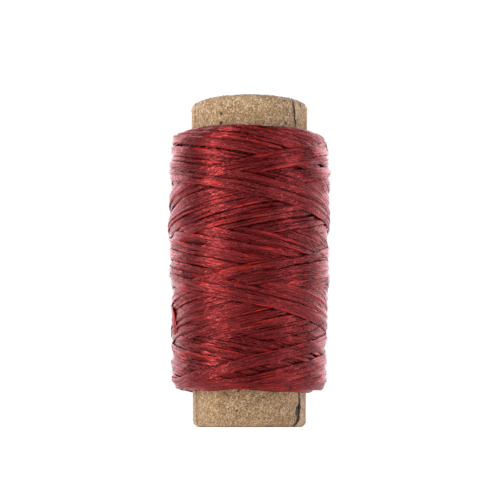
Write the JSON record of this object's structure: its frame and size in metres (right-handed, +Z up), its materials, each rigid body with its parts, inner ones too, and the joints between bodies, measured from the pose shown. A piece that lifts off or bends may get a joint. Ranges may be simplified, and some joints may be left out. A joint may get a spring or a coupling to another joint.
{
  "type": "waxed thread spool",
  "caption": "Flat waxed thread cross-wound in a thick cylinder on an open rolled paper core, for hand stitching leather.",
  "frame": {"origin": "middle of the core's lower end, on the plane that it stands on", "axes": "+Z up the core's axis, -Y towards the front, +X to the right seen from the front"},
  "size_m": [0.0266, 0.0266, 0.0535],
  "materials": {
    "kraft_paper": "matte",
    "kraft_board": "matte",
    "waxed_thread": "waxy satin"
  },
  "bodies": {
    "root": {"core_outer_ply": "kraft_paper", "core_second_ply": "kraft_board", "core_third_ply": "kraft_board", "core_inner_ply": "kraft_board", "thread_winding": "waxed_thread", "thread_tail": "waxed_thread"}
  },
  "joints": []
}
